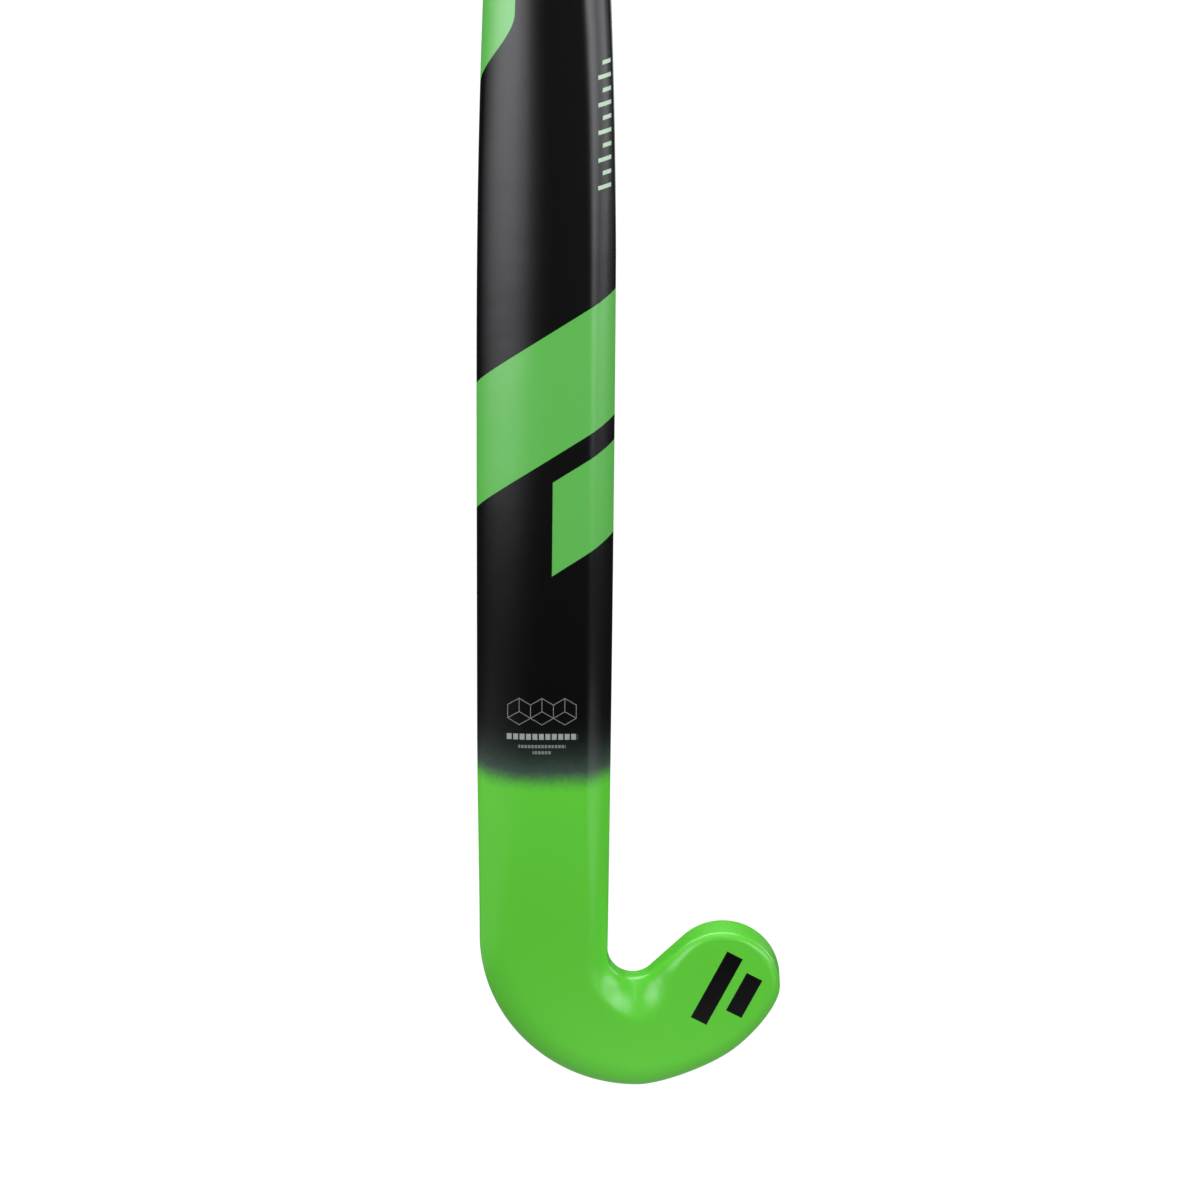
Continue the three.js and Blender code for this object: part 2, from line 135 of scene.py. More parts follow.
GAP = 0.3
PLUG_TOP = 917
GRIP_BOTTOM = 608
UNDERLAY_THICKNESS = 0.3
GRIP_THICKNESS = 1.7
GRIP_INSIDE = GAP + UNDERLAY_THICKNESS + GAP
GRIP_OUTSIDE = GRIP_INSIDE + GRIP_THICKNESS
TAPE = {"bottom": 592, "top": 616, "thickness": 0.5, "lap": 7}
TAPE_STEPS = 48  # mesh steps down the tape
# One lap of the tape: its lowest place and its rise as shares of the thickness, the length of
# the step up as a share of the lap, and the share of the rise that falls away again.
TAPE_TURN = {"low": 0.55, "rise": 0.4, "step": 0.12, "fall": 0.85}

# The cap's `out` values are from the laminate's surface, as in every profile of the handle.
CAP = {"rim": 2.24, "rim_steps": 8, "rim_flat": 0.4, "below_rim": 1.4, "middle_out": -9.5}
CAP_SPIGOT = {"clearance": 0.6, "chamfer": 0.5}
CAP_GROOVE = {"out": -5.8, "depth": 0.5}
GROOVE_SHAPE = [(-0.8, 0), (-0.5, 0.7), (0, 1), (0.5, 0.7), (0.8, 0)]  # across it, how deep
CAP_FOOT = [(0.5, 0), (0.12, 0.15), (0, 0.5)]  # the disc's lower corner: up from it, in from it

# The grip is one strip of perforated foam, wound downwards so that each turn laps over the
# lower edge of the turn above it.
STRIP = {"width": 27, "pitch": 22, "middle": 1.1, "edge": 0.5, "skive": 5}
STRIP_SEAT = {"ramp": 1.5, "gap": 0.02}  # the way down off the lapped turn, and the room below
HOLE = {"spacing": 4.4, "radius": 0.75, "softness": 0.25}


# ---- small helpers --------------------------------------------------------------------------

def clamp01(t):
    return min(1.0, max(0.0, t))


def smooth(t):
    return t * t * (3 - 2 * t)


def mix(a, b, t):
    return a + (b - a) * t


def mixed(start, end, t):
    return tuple(mix(a, b, t) for a, b in zip(start, end))


def keyed(keys):
    """A smooth curve through the keys that never overshoots them."""
    chord = [(b[1] - a[1]) / (b[0] - a[0]) for a, b in zip(keys, keys[1:])]
    slope = [0.0] * len(keys)
    for i in range(1, len(keys) - 1):
        before, after = chord[i - 1], chord[i]
        if before * after > 0:
            slope[i] = 2 * before * after / (before + after)

    def value(c):
        if c <= keys[0][0]:
            return keys[0][1]
        for i in range(1, len(keys)):
            if c > keys[i][0]:
                continue
            span = keys[i][0] - keys[i - 1][0]
            t = (c - keys[i - 1][0]) / span
            lift = t * (1 - t) * ((1 - t) * slope[i - 1] - t * slope[i])
            return mix(keys[i - 1][1], keys[i][1], smooth(t)) + span * lift
        return keys[-1][1]

    return value


def bezier(points, t):
    """A point of a cubic curve and its direction there."""
    r = 1 - t
    a, b, c, d = points
    at = [r ** 3 * a[k] + 3 * r * r * t * b[k] + 3 * r * t * t * c[k] + t ** 3 * d[k] for k in (0, 1)]
    along = [r * r * (b[k] - a[k]) + 2 * r * t * (c[k] - b[k]) + t * t * (d[k] - c[k]) for k in (0, 1)]
    return at, along


def between(start, end, count):
    """`count` values from just after start to end."""
    return [mix(start, end, (i + 1) / count) for i in range(count)]


def straight(start, end, count):
    """The points that divide a straight line into `count` steps, without its ends."""
    return [mixed(start, end, t) for t in between(0, 1, count)[:-1]]


def lengths_along(points):
    """The distance along the points from the first one to each of them."""
    lengths = [0.0]
    for a, b in zip(points, points[1:]):
        lengths.append(lengths[-1] + math.dist(a, b))
    return lengths


# ---- the flat drawing: outline and section --------------------------------------------------

depth_at = keyed(DEPTH)
wall_at = keyed(WALL)


def corner_keys(rows):
    """Curves of a corner's reach, fall, flat fullness and side fullness along the stick."""
    return [keyed([(row[0], row[i]) for row in rows]) for i in range(1, 5)]


face_corner = corner_keys(FACE_CORNER)
heel_back_corner = corner_keys(HEEL_BACK_CORNER)
toe_back_corner = corner_keys(TOE_BACK_CORNER)


def taper(s, start):
    t = clamp01((s - start) / (HANDLE_START - start)) ** TAPER_EASE
    return BLADE_HALF_WIDTH - (BLADE_HALF_WIDTH - HANDLE_HALF_WIDTH) * smooth(t)


def heel_edge(s):
    head_edge = HEEL["radius"] - HEEL["x"]
    swell = smooth(clamp01((s - HEEL_TOP) / (SWELL_END["heel"] - HEEL_TOP)))
    return taper(s, TAPER_START["heel"]) - (BLADE_HALF_WIDTH - head_edge) * (1 - swell)


def toe_edge(s):
    head_edge = CROOK["x"] - CROOK["radius"]
    p = clamp01((s - CROOK["s"]) / (SWELL_END["toe"] - CROOK["s"]))
    swell = p * (TOE_SWELL - (TOE_SWELL - 1) * p)
    return taper(s, TAPER_START["toe"]) - (BLADE_HALF_WIDTH - head_edge) * (1 - swell)


def towards(angle, distance=1):
    return Vector((math.cos(math.radians(angle)), math.sin(math.radians(angle)))) * distance


def find_neck_angle():
    """The slope of the straight line that touches the crook's arc and the toe's arc."""
    dx, ds = TOE["x"] - CROOK["x"], TOE["s"] - CROOK["s"]
    lean = math.asin((TOE["radius"] + CROOK["radius"]) / math.hypot(dx, ds))
    return math.degrees(math.atan2(ds, dx) + lean)


def find_base_curves():
    """The base's two curves, from the heel's lowest point to the toe's outermost point."""
    heel = Vector((HEEL["x"], 0))
    joint = Vector((BASE_JOINT["x"], BASE_JOINT["s"]))
    angle = BASE_JOINT["angle"]
    toe = Vector((TOE["x"] + TOE["radius"], TOE["s"]))
    first, second, third, fourth = BASE_PULLS
    return [
        (heel, heel + towards(0, first), joint - towards(angle, second), joint),
        (joint, joint + towards(angle, third), toe - towards(90, fourth), toe),
    ]


NECK_ANGLE = find_neck_angle()
BASE_CURVES = find_base_curves()
TIP_ANGLE = (90 + NECK_ANGLE) / 2


def on_heel(angle):
    """A point (x, s) of the heel's arc and the direction into the stick."""
    out = towards(angle)
    return HEEL["x"] + HEEL["radius"] * out.x, HEEL["radius"] * (1 + out.y), -out.x, -out.y


def on_crook(angle):
    out = towards(angle)
    return CROOK["x"] + CROOK["radius"] * out.x, CROOK["s"] + CROOK["radius"] * out.y, out.x, out.y


def on_toe(angle):
    out = towards(angle)
    return TOE["x"] + TOE["radius"] * out.x, TOE["s"] + TOE["radius"] * out.y, -out.x, -out.y


def on_base(curve, t):
    at, along = bezier(curve, t)
    size = math.hypot(*along)
    return at[0], at[1], -along[1] / size, along[0] / size


def on_neck(t):
    return mixed(on_crook(270 + NECK_ANGLE), on_toe(90 + NECK_ANGLE), t)


def outline(c):
    """The two outline points that a section joins, on the heel side and the toe side."""
    if c >= HEEL_TOP:
        slip = (HEEL_TOP - CROOK["s"]) * (1 - smooth(clamp01((c - HEEL_TOP) / SQUARE_BY)))
        return (-heel_edge(c), c, 1, 0), (toe_edge(c - slip), c - slip, -1, 0)
    if c >= BEND_END:
        t = (HEEL_TOP - c) / (HEEL_TOP - BEND_END)
        return on_heel(180 + 90 * t), on_crook(180 + 90 * t)
    if c >= NECK_START:
        t = (BEND_END - c) / (BEND_END - NECK_START)
        return on_base(BASE_CURVES[0], t), on_crook(270 + NECK_ANGLE * t)
    if c >= NECK_END:
        t = (NECK_START - c) / (NECK_START - NECK_END)
        return on_base(BASE_CURVES[1], t), on_neck(t)
    t = (NECK_END - c) / (NECK_END - TIP)
    return on_toe(TIP_ANGLE * t), on_toe(mix(90 + NECK_ANGLE, TIP_ANGLE, t))


def corner(keys, c, inset, count):
    """One corner of the section, from the flat round to the side, as (reach, fall) pairs."""
    reach, fall, flat_full, side_full = (key(c) for key in keys)
    reach = max(reach - inset, SMALLEST_CORNER)
    fall = max(fall - inset, SMALLEST_CORNER)
    points = [(reach, 0), (reach * (1 - flat_full), 0), (0, fall * (1 - side_full)), (0, fall)]
    return [bezier(points, i / count)[0] for i in range(count + 1)]


def section(c, inset, detail):
    """The section at c, `inset` inside the outer surface, as (x, s, h) points.

    It starts and ends at the middle of the playing face and goes round by the heel side.
    """
    heel, toe = outline(c)
    middle = mixed(heel, toe, 0.5)
    depth = depth_at(c) - inset
    half_width = math.dist(heel[:2], toe[:2]) / 2

    def dome(away):
        """How much deeper the crown makes the stick, as a factor. `away` from the middle is 0
        there and 1 at the edge."""
        crown = CROWN * half_width * half_width * (1 - away * away)
        return 1 + crown / depth_at(c)

    def point(edge, reach, h):
        into = reach + inset
        away = 1 - into / half_width if into < half_width else 0
        return edge[0] + edge[2] * into, edge[1] + edge[3] * into, h * dome(away)

    def side(edge, back_keys):
        face = [point(edge, r, inset + f) for r, f in corner(face_corner, c, inset, detail["corner"])]
        back = [point(edge, r, depth - f) for r, f in corner(back_keys, c, inset, detail["corner"])]
        back.reverse()
        return face + straight(face[-1], back[0], detail["wall"]) + back

    def crowned(p):
        """Lifts a point of the back to the dome that the corners start from."""
        away = math.dist(p[:2], middle[:2]) / max(half_width, 1e-6)
        return p[0], p[1], depth * dome(min(1.0, away))

    heel_side = side(heel, heel_back_corner)
    toe_side = side(toe, toe_back_corner)
    toe_side.reverse()
    back = [crowned(p) for p in straight(heel_side[-1], toe_side[0], detail["back"])]
    face_middle = mixed(toe_side[-1], heel_side[0], 0.5)
    to_heel = straight(face_middle, heel_side[0], detail["face"])
    from_toe = straight(toe_side[-1], face_middle, detail["face"])
    return [face_middle, *to_heel, *heel_side, *back, *toe_side, *from_toe, face_middle]


# ---- the bow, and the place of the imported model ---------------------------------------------

def on_face(s):
    """The playing face at s: its y and z in the drawing's frame, and its lean."""
    y, z, left = 0.0, 0.0, s
    for i, stretch in enumerate(FACE_PATH):
        last = i == len(FACE_PATH) - 1
        run = left if last else min(left, stretch["length"])
        lean = math.radians(stretch["lean"])
        turn = math.radians(stretch["end_lean"] - stretch["lean"]) / stretch["length"]
        if turn == 0:
            y -= math.sin(lean) * run
            z += math.cos(lean) * run
        else:
            y += (math.cos(lean + turn * run) - math.cos(lean)) / turn
            z += (math.sin(lean + turn * run) - math.sin(lean)) / turn
        left -= run
        if left <= 0:
            break
    return y, z, lean + turn * run


def bend(x, s, h):
    y, z, lean = on_face(s)
    return Vector((x, y - h * math.cos(lean), z - h * math.sin(lean)))


# Mesh steps in each stretch of a section, and the places of the sections
FINE = {"corner": 14, "wall": 3, "back": 12, "face": 5}
COARSE = {"corner": 4, "wall": 1, "back": 3, "face": 1}
shaft_places = [SHELL_TOP, *between(SHELL_TOP, HANDLE_START, 24), *between(HANDLE_START, HEEL_TOP, 136)]
hook_places = [
    *between(HEEL_TOP, BEND_END, 48),
    *between(BEND_END, NECK_START, 24),
    *between(NECK_START, NECK_END, 14),
    *between(NECK_END, TIP, 48),
]


def find_origin():
    """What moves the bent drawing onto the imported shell: their lowest corners coincide."""
    points = [bend(*p) for c in shaft_places[::4] + hook_places[::4] for p in section(c, 0, COARSE)]
    low = Vector(min(p[k] for p in points) for k in range(3))
    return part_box("composite_shell")[0] / MM - low


origin = find_origin()


def place(x, s, h):
    """A drawing point in the scene, in metres."""
    return (bend(x, s, h) + origin) * MM


# ---- meshes ---------------------------------------------------------------------------------

def fold(distance, half_girth):
    """Distance round the section from the middle of the back, turned back at the stick's edge."""
    return math.copysign(min(abs(distance), half_girth - abs(distance)), distance)


def ring_marks(points):
    """What the graphics are drawn by at each point of a section: the folded distance from the
    middle of the back, and the distance from the edge where it folds."""
    lengths = lengths_along(points)
    half_girth = lengths[-1] / 2
    marks = []
    for length in lengths:
        round_back = length - half_girth
        across = fold(round_back, half_girth)
        marks.append((across, half_girth / 2 - abs(across)))
    return marks


def new_object(name, data):
    obj = bpy.data.objects.new(name, data)
    bpy.context.collection.objects.link(obj)
    return obj


def shell_mesh():
    """The laminate's outer skin, its rim at the butt and the skin of its hollow."""
    outer = [section(c, 0, FINE) for c in shaft_places + hook_places]
    inner_places = shaft_places[::6] + hook_places[::4]
    inner = [section(c, wall_at(c), COARSE) for c in inner_places]
    bm = bmesh.new()
    girth_map = bm.loops.layers.uv.new("girth")
    drawing_map = bm.loops.layers.uv.new("drawing")
    edge_map = bm.loops.layers.uv.new("edge")

    def skin(rings, inward):
        count = len(rings[0]) - 1
        rows = [[bm.verts.new(place(*p)) for p in ring[:-1]] for ring in rings]
        marks = [ring_marks(ring) for ring in rings]
        for r in range(len(rings) - 1):
            for i in range(count):
                corners = [(r, i), (r + 1, i), (r + 1, i + 1), (r, i + 1)]
                if inward:
                    corners.reverse()
                face = bm.faces.new([rows[a][b % count] for a, b in corners])
                face.smooth = True
                for loop, (a, b) in zip(face.loops, corners):
                    x, s, h = rings[a][b]
                    across, from_edge = marks[a][b]
                    loop[girth_map].uv = (across * MM, s * MM)
                    loop[drawing_map].uv = (x * MM, h * MM)
                    loop[edge_map].uv = (from_edge * MM, 0)
        return rows

    outer_rows = skin(outer, False)
    inner_rows = skin(inner, True)
    rim = bmesh.ops.bridge_loops(
        bm,
        edges=[e for row in (outer_rows[0], inner_rows[0]) for e in row_edges(row)],
    )
    for face in rim["faces"]:
        face.smooth = False
    bm.faces.new(inner_rows[-1])
    bmesh.ops.remove_doubles(bm, verts=bm.verts, dist=1e-6)
    bmesh.ops.dissolve_degenerate(bm, edges=bm.edges, dist=1e-7)
    mesh = bpy.data.meshes.new("stick_shell")
    bm.to_mesh(mesh)
    bm.free()
    return mesh


def row_edges(row):
    edges = []
    for a, b in zip(row, row[1:] + row[:1]):
        shared = set(a.link_edges) & set(b.link_edges)
        edges.extend(shared)
    return edges


# ---- materials ------------------------------------------------------------------------------

def linear(red, green, blue):
    """A screen colour, 0 to 255, as the shader's linear colour."""
    def channel(v):
        v /= 255
        return v / 12.92 if v <= 0.04045 else ((v + 0.055) / 1.055) ** 2.4
    return channel(red), channel(green), channel(blue), 1.0


class Graph:
    """A material and short calls that add nodes to it."""

    def __init__(self, name):
        self.material = bpy.data.materials.new(name)
        self.material.use_nodes = True
        self.tree = self.material.node_tree
        self.shader = self.tree.nodes["Principled BSDF"]

    def node(self, kind, **settings):
        made = self.tree.nodes.new(kind)
        for key, value in settings.items():
            setattr(made, key, value)
        return made

    def feed(self, socket, value):
        if isinstance(value, bpy.types.NodeSocket):
            self.tree.links.new(value, socket)
        else:
            socket.default_value = value

    def math(self, operation, a, b=0.0, clamp=False):
        made = self.node("ShaderNodeMath", operation=operation, use_clamp=clamp)
        self.feed(made.inputs[0], a)
        if operation not in ("ABSOLUTE", "SINE", "FRACT", "FLOOR", "SQRT"):
            self.feed(made.inputs[1], b)
        return made.outputs[0]

    def add(self, a, b):
        return self.math("ADD", a, b)

    def times(self, a, b):
        return self.math("MULTIPLY", a, b)

    def line(self, a, x, b, y, offset):
        """a * x + b * y + offset, for numbers a, b and offset."""
        return self.add(self.add(self.times(x, a), self.times(y, b)), offset)

    def step(self, value, start, end):
        """0 below start and 1 above end, or the other way round if end is the lower one."""
        made = self.node("ShaderNodeMapRange", interpolation_type="SMOOTHSTEP")
        self.feed(made.inputs["Value"], value)
        low, high = min(start, end), max(start, end)
        self.feed(made.inputs["From Min"], low)
        self.feed(made.inputs["From Max"], high)
        self.feed(made.inputs["To Min"], 0.0 if end > start else 1.0)
        self.feed(made.inputs["To Max"], 1.0 if end > start else 0.0)
        return made.outputs["Result"]

    def inside(self, distance, softness=0.12):
        """1 where a signed distance is below 0."""
        return self.step(distance, softness, -softness)

    def within(self, value, low, high, softness=0.1):
        """1 from low to high."""
        rise = self.step(value, low - softness, low + softness)
        return self.times(rise, self.step(value, high + softness, high - softness))

    def blend(self, factor, a, b):
        made = self.node("ShaderNodeMix", data_type="RGBA")
        self.feed(made.inputs["Factor"], factor)
        self.feed(made.inputs[6], a)
        self.feed(made.inputs[7], b)
        return made.outputs[2]

    def noise(self, vector, scale, detail):
        made = self.node("ShaderNodeTexNoise")
        self.feed(made.inputs["Vector"], vector)
        made.inputs["Scale"].default_value = scale
        made.inputs["Detail"].default_value = detail
        return made.outputs["Fac"]

    def position(self):
        return self.node("ShaderNodeTexCoord").outputs["Object"]

    def uv(self, name):
        """The two coordinates of a UV map, in millimetres."""
        source = self.node("ShaderNodeUVMap", uv_map=name)
        split = self.node("ShaderNodeSeparateXYZ")
        self.tree.links.new(source.outputs["UV"], split.inputs["Vector"])
        return self.times(split.outputs["X"], 1 / MM), self.times(split.outputs["Y"], 1 / MM)

    def bump(self, height, strength, distance):
        made = self.node("ShaderNodeBump")
        made.inputs["Strength"].default_value = strength
        made.inputs["Distance"].default_value = distance
        self.feed(made.inputs["Height"], height)
        self.tree.links.new(made.outputs["Normal"], self.shader.inputs["Normal"])


BLACK_LACQUER = linear(3, 3, 4)
HEAD_GREEN = linear(104, 221, 63)
BAND_GREEN = linear(101, 195, 85)
PALE_GREEN = linear(196, 228, 192)
OVERSPRAY = linear(68, 88, 76)
PRINT_GREY = linear(185, 190, 188)
LACQUER = {"roughness": 0.25, "shine": 0.5, "peel": 0.05, "waves": 0.6, "relief": 0.0002}
PRINT_SHINE = 0.3  # how much more the bands' ink reflects than the lacquer does

# Graphics, in millimetres of the drawing; s, `bottom` and `top` are heights along the stick
BACK_FROM = 10  # what is deeper than this is on the rounded back
BANDS = {"slope": 0.62, "wide": (230, 275), "second": (188, 221), "second_from": 1.5}
SPRAY = {
    "green_full": 111.2, "green_top": 119.8,
    "haze_length": 27.3, "haze_top": 146, "haze_power": 4,
    "climb": 2.2, "half_width": 22, "climb_power": 3.2,
    "mist": 2.2, "drift": 1.6,
}
PANEL = {"bottom": 359, "top": 560, "sweep": 30, "width": 18.5}
TICKS = {
    "bottom": 320, "count": 10, "spacing": 4.9, "thickness": 1.5,
    "inner": 17, "outer": 22.6, "short": 1.8, "slope": 0.25,
}
HEXAGONS = {"x": -1.6, "s": 141, "apothem": 4.1, "line": 0.26, "ink": 0.5}
DASH_ROWS = [  # s, length, width, ink
    (132, 25.6, 2.1, 0.8),
    (128.5, 17, 1.1, 0.45),
    (126.3, 6.8, 1.1, 0.45),
]
# The dashes' pitch in row widths, a shift that sets where they fall across the stick, and how
# far from its middle a dash is gone and is full, as shares of the pitch.
DASH = {"pitch": 1.1, "shift": 100, "fade": (0.42, 0.34)}
TOE_BARS = [((61.4, 38.4), 28, 6.4), ((71.3, 35.6), 16, 6.4)]  # middle, length, width
TOE_BAR_ANGLE = 62


def slanted_bar(g, x, s, middle, length, width, angle):
    """1 inside a bar that is drawn flat on the stick, 0 outside."""
    turn = math.radians(angle)
    dx, ds = g.add(x, -middle[0]), g.add(s, -middle[1])
    lengthwise = g.line(math.cos(turn), dx, math.sin(turn), ds, 0)
    crosswise = g.line(-math.sin(turn), dx, math.cos(turn), ds, 0)
    beyond_end = g.add(g.math("ABSOLUTE", lengthwise), -length / 2)
    beyond_side = g.add(g.math("ABSOLUTE", crosswise), -width / 2)
    return g.inside(g.math("MAXIMUM", beyond_end, beyond_side))


def spray_layers(g, along, x):
    """The head's green, sprayed up into the black, and the grey-green overspray above it."""
    mist = g.noise(g.position(), 600, 3)
    drift = g.noise(g.position(), 90, 2)
    wander = g.line(SPRAY["mist"], mist, SPRAY["drift"], drift, -(SPRAY["mist"] + SPRAY["drift"]) / 2)
    off_middle = g.math("ABSOLUTE", g.times(x, 1 / SPRAY["half_width"]))
    climb = g.times(g.math("POWER", off_middle, SPRAY["climb_power"]), SPRAY["climb"])
    height = g.add(g.add(along, wander), g.times(climb, -1))
    thinning = g.times(g.add(g.times(height, -1), SPRAY["haze_top"]), 1 / SPRAY["haze_length"])
    thinning = g.math("MINIMUM", g.math("MAXIMUM", thinning, 0.0), 1.0)
    haze = g.math("POWER", thinning, SPRAY["haze_power"])
    return g.step(height, SPRAY["green_top"], SPRAY["green_full"]), haze


def bands(g, across, along):
    """A wide band round the blade, and a second one on its toe half."""
    slant = g.line(1, along, -BANDS["slope"], across, 0)
    wide = g.within(slant, *BANDS["wide"])
    second = g.within(slant, *BANDS["second"])
    toe_half = g.step(across, BANDS["second_from"] - 0.1, BANDS["second_from"] + 0.1)
    return g.add(wide, g.times(second, toe_half))


def heel_panel(g, from_edge, across, along):
    """A long leaf along the heel edge: its two ends sweep out to a straight side."""
    above_bottom = g.add(along, -PANEL["bottom"])
    below_top = g.add(g.times(along, -1), PANEL["top"])
    from_end = g.math("MINIMUM", above_bottom, below_top)
    reach = g.times(g.step(from_end, -PANEL["sweep"] / 10, PANEL["sweep"]), PANEL["width"])
    inside = g.inside(g.add(from_edge, g.times(reach, -1)))
    return g.times(g.times(inside, g.step(across, 0.1, -0.1)), g.step(from_end, -0.1, 0.1))


def edge_ticks(g, across, along):
    """A row of slanted ticks on the toe side's bevel, every other one short."""
    spacing = TICKS["spacing"]
    shifted = g.line(1, along, -TICKS["slope"], across, -TICKS["bottom"])
    number = g.math("FLOOR", g.times(shifted, 1 / spacing))
    from_middle = g.math("ABSOLUTE", g.line(1, shifted, -spacing, number, -spacing / 2))
    odd = g.math("FRACT", g.times(number, 0.5))
    start = g.add(g.times(odd, 2 * TICKS["short"]), TICKS["inner"])
    before_start = g.add(start, g.times(across, -1))
    after_end = g.add(across, -TICKS["outer"])
    bar = g.math("MAXIMUM", g.add(from_middle, -TICKS["thickness"] / 2), before_start)
    bar = g.math("MAXIMUM", bar, after_end)
    return g.times(g.inside(bar), g.within(shifted, 0, spacing * TICKS["count"]))


def hexagon(g, x, s, middle, apothem, thickness):
    """1 on a hexagon's outline and on its three spokes."""
    dx, ds = g.add(x, -middle[0]), g.add(s, -middle[1])
    sides = []
    spokes = []
    for angle in (0, 120, 240):
        turn = math.radians(angle)
        beside = g.math("ABSOLUTE", g.line(math.cos(turn), dx, math.sin(turn), ds, 0))
        behind = g.line(math.sin(turn), dx, -math.cos(turn), ds, 0)
        sides.append(beside)
        spokes.append(g.math("MAXIMUM", beside, behind))
    radius = g.math("MAXIMUM", g.math("MAXIMUM", sides[0], sides[1]), sides[2])
    rim = g.math("ABSOLUTE", g.add(radius, -apothem))
    spoke = g.math("MINIMUM", g.math("MINIMUM", spokes[0], spokes[1]), spokes[2])
    spoke = g.math("MAXIMUM", spoke, g.add(radius, -apothem))
    return g.inside(g.add(g.math("MINIMUM", rim, spoke), -thickness / 2), 0.08)


def dashes(g, x, along, s, length, width):
    """A row of short dashes across the stick."""
    bar = slanted_bar(g, x, along, (HEXAGONS["x"], s), length, width, 0)
    beat = g.math("FRACT", g.times(g.add(x, DASH["shift"]), 1 / (DASH["pitch"] * width)))
    return g.times(bar, g.step(g.math("ABSOLUTE", g.add(beat, -0.5)), *DASH["fade"]))


def maker_block(g, x, along):
    """A small line drawing of three hexagons with rows of dashes under it."""
    total = 0.0
    for i in (-1, 0, 1):
        middle = (HEXAGONS["x"] + i * 2 * HEXAGONS["apothem"], HEXAGONS["s"])
        drawn = hexagon(g, x, along, middle, HEXAGONS["apothem"], HEXAGONS["line"])
        total = g.math("MAXIMUM", drawn, total)
    total = g.times(total, HEXAGONS["ink"])
    for s, length, width, ink in DASH_ROWS:
        row = g.times(dashes(g, x, along, s, length, width), ink)
        total = g.math("MAXIMUM", total, row)
    return total


def lacquer_material():
    """Satin lacquer: black shaft, green head sprayed into it, and the printed graphics."""
    g = Graph("satin_lacquer")
    across, along = g.uv("girth")
    x, h = g.uv("drawing")
    from_edge, _ = g.uv("edge")
    on_back = g.step(h, BACK_FROM - 0.1, BACK_FROM + 0.1)

    green, overspray = spray_layers(g, along, x)
    colour = g.blend(overspray, BLACK_LACQUER, OVERSPRAY)
    colour = g.blend(green, colour, HEAD_GREEN)
    printed = g.add(bands(g, across, along), heel_panel(g, from_edge, across, along))
    colour = g.blend(printed, colour, BAND_GREEN)
    colour = g.blend(g.times(edge_ticks(g, across, along), on_back), colour, PALE_GREEN)
    colour = g.blend(g.times(maker_block(g, x, along), on_back), colour, PRINT_GREY)
    for middle, length, width in TOE_BARS:
        bar = slanted_bar(g, x, along, middle, length, width, TOE_BAR_ANGLE)
        colour = g.blend(g.times(bar, on_back), colour, BLACK_LACQUER)

    g.feed(g.shader.inputs["Base Color"], colour)
    g.shader.inputs["Roughness"].default_value = LACQUER["roughness"]
    shine = g.add(g.times(printed, PRINT_SHINE), LACQUER["shine"])
    g.feed(g.shader.inputs["Specular IOR Level"], shine)
    peel = g.noise(g.position(), 1400, 2)
    waves = g.noise(g.position(), 45, 2)
    g.bump(g.line(LACQUER["peel"], peel, LACQUER["waves"], waves, 0), 1.0, LACQUER["relief"])
    return g.material


def plain_material(name, colour, roughness, scale, spread, strength=0.3):
    """A finish with a fine uneven grain."""
    g = Graph(name)
    grain = g.noise(g.position(), scale, 4)
    darker = tuple(v * (1 - spread) for v in colour[:3]) + (1.0,)
    g.feed(g.shader.inputs["Base Color"], g.blend(grain, darker, colour))
    g.shader.inputs["Roughness"].default_value = roughness
    g.bump(grain, strength, 0.0003)
    return g.material


def cell_material(name, colour, roughness, scale, spread):
    """Foam or filler: small cells, darker between them."""
    g = Graph(name)
    cells = g.node("ShaderNodeTexVoronoi", feature="F1")
    g.feed(cells.inputs["Vector"], g.position())
    cells.inputs["Scale"].default_value = scale
    distance = cells.outputs["Distance"]
    patches = g.noise(g.position(), 40, 3)
    darker = tuple(v * (1 - spread) for v in colour[:3]) + (1.0,)
    shade = g.math("MULTIPLY", distance, g.add(patches, 0.5), clamp=True)
    g.feed(g.shader.inputs["Base Color"], g.blend(shade, colour, darker))
    g.shader.inputs["Roughness"].default_value = roughness
    g.bump(distance, 0.5, 0.0006)
    return g.material


def brushed_material(name, colour, roughness):
    """Turned steel: fine rings along the piece."""
    g = Graph(name)
    split = g.node("ShaderNodeSeparateXYZ")
    g.tree.links.new(g.position(), split.inputs["Vector"])
    rings = g.math("SINE", g.times(split.outputs["Z"], 9000.0))
    wear = g.noise(g.position(), 200, 4)
    darker = tuple(v * 0.75 for v in colour[:3]) + (1.0,)
    g.feed(g.shader.inputs["Base Color"], g.blend(wear, darker, colour))
    g.shader.inputs["Metallic"].default_value = 1.0
    g.shader.inputs["Roughness"].default_value = roughness
    g.bump(rings, 0.15, 0.0001)
    return g.material


# ---- pieces ---------------------------------------------------------------------------------

HANDLE_DETAIL = {"corner": 16, "wall": 3, "back": 8, "face": 4}
HANDLE_PLACE = 650  # a place on the handle, where the section is the same all the way up
HANDLE_COLUMNS = 96  # mesh steps round the tape and the cap
STRIP_ROWS = 24  # mesh steps across the grip's strip
STRIP_COLUMNS = 80  # mesh steps round one of its turns


